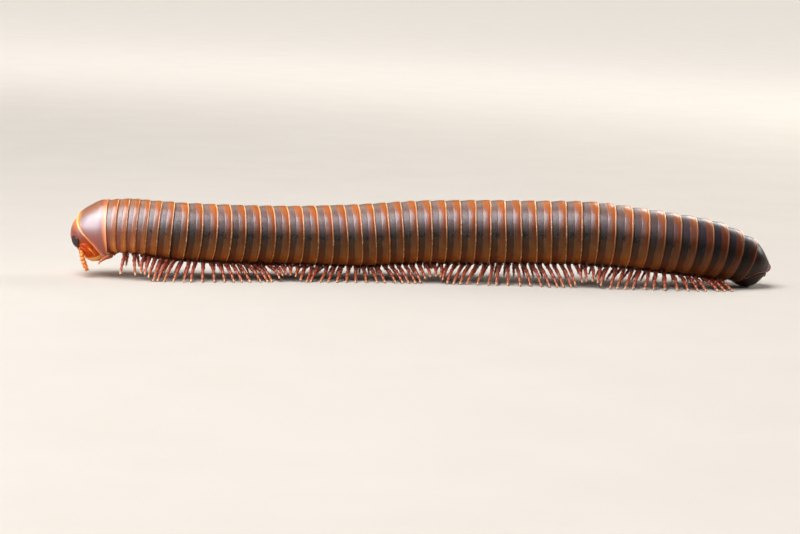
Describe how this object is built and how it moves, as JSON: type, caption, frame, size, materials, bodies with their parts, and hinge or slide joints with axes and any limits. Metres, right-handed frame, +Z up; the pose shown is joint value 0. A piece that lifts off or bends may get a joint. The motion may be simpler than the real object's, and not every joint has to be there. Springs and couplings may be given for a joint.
{
  "type": "spirobolid millipede museum model",
  "caption": "Life-size still model of a spirobolid millipede walking: domed collar and round head, raised trunk rings on a gently winding body, legs in waves, blunt tail with valves.",
  "frame": {"origin": "middle of the bounding box, on the floor that the feet stand on", "axes": "-X is the way the head points and +X is the tail, +Z is up, -Y is the animal's left side, which the picture shows"},
  "size_m": [0.0898, 0.0177, 0.0108],
  "materials": {
    "rings": "slate grey rings with red-orange hind margins and a pale rim, satin gloss, red-orange legs",
    "collum": "lilac grey collar with orange margins, glossy",
    "head": "orange-brown, glossy, purple-brown brow",
    "antenna": "bright orange, finely haired",
    "eye": "black patch of small round ocelli",
    "telson": "very dark brown, glossy, reddish tip",
    "valve": "dark brown with reddish rims, glossy"
  },
  "bodies": {
    "root": {"head": "head", "eye_left": "eye", "eye_right": "eye", "antenna_left": "antenna", "antenna_right": "antenna", "collum": "collum", "trunk_1": "rings", "trunk_2": "rings", "trunk_3": "rings", "trunk_4": "rings", "trunk_5": "rings", "telson": "telson", "anal_valve_left": "valve", "anal_valve_right": "valve"}
  },
  "joints": []
}
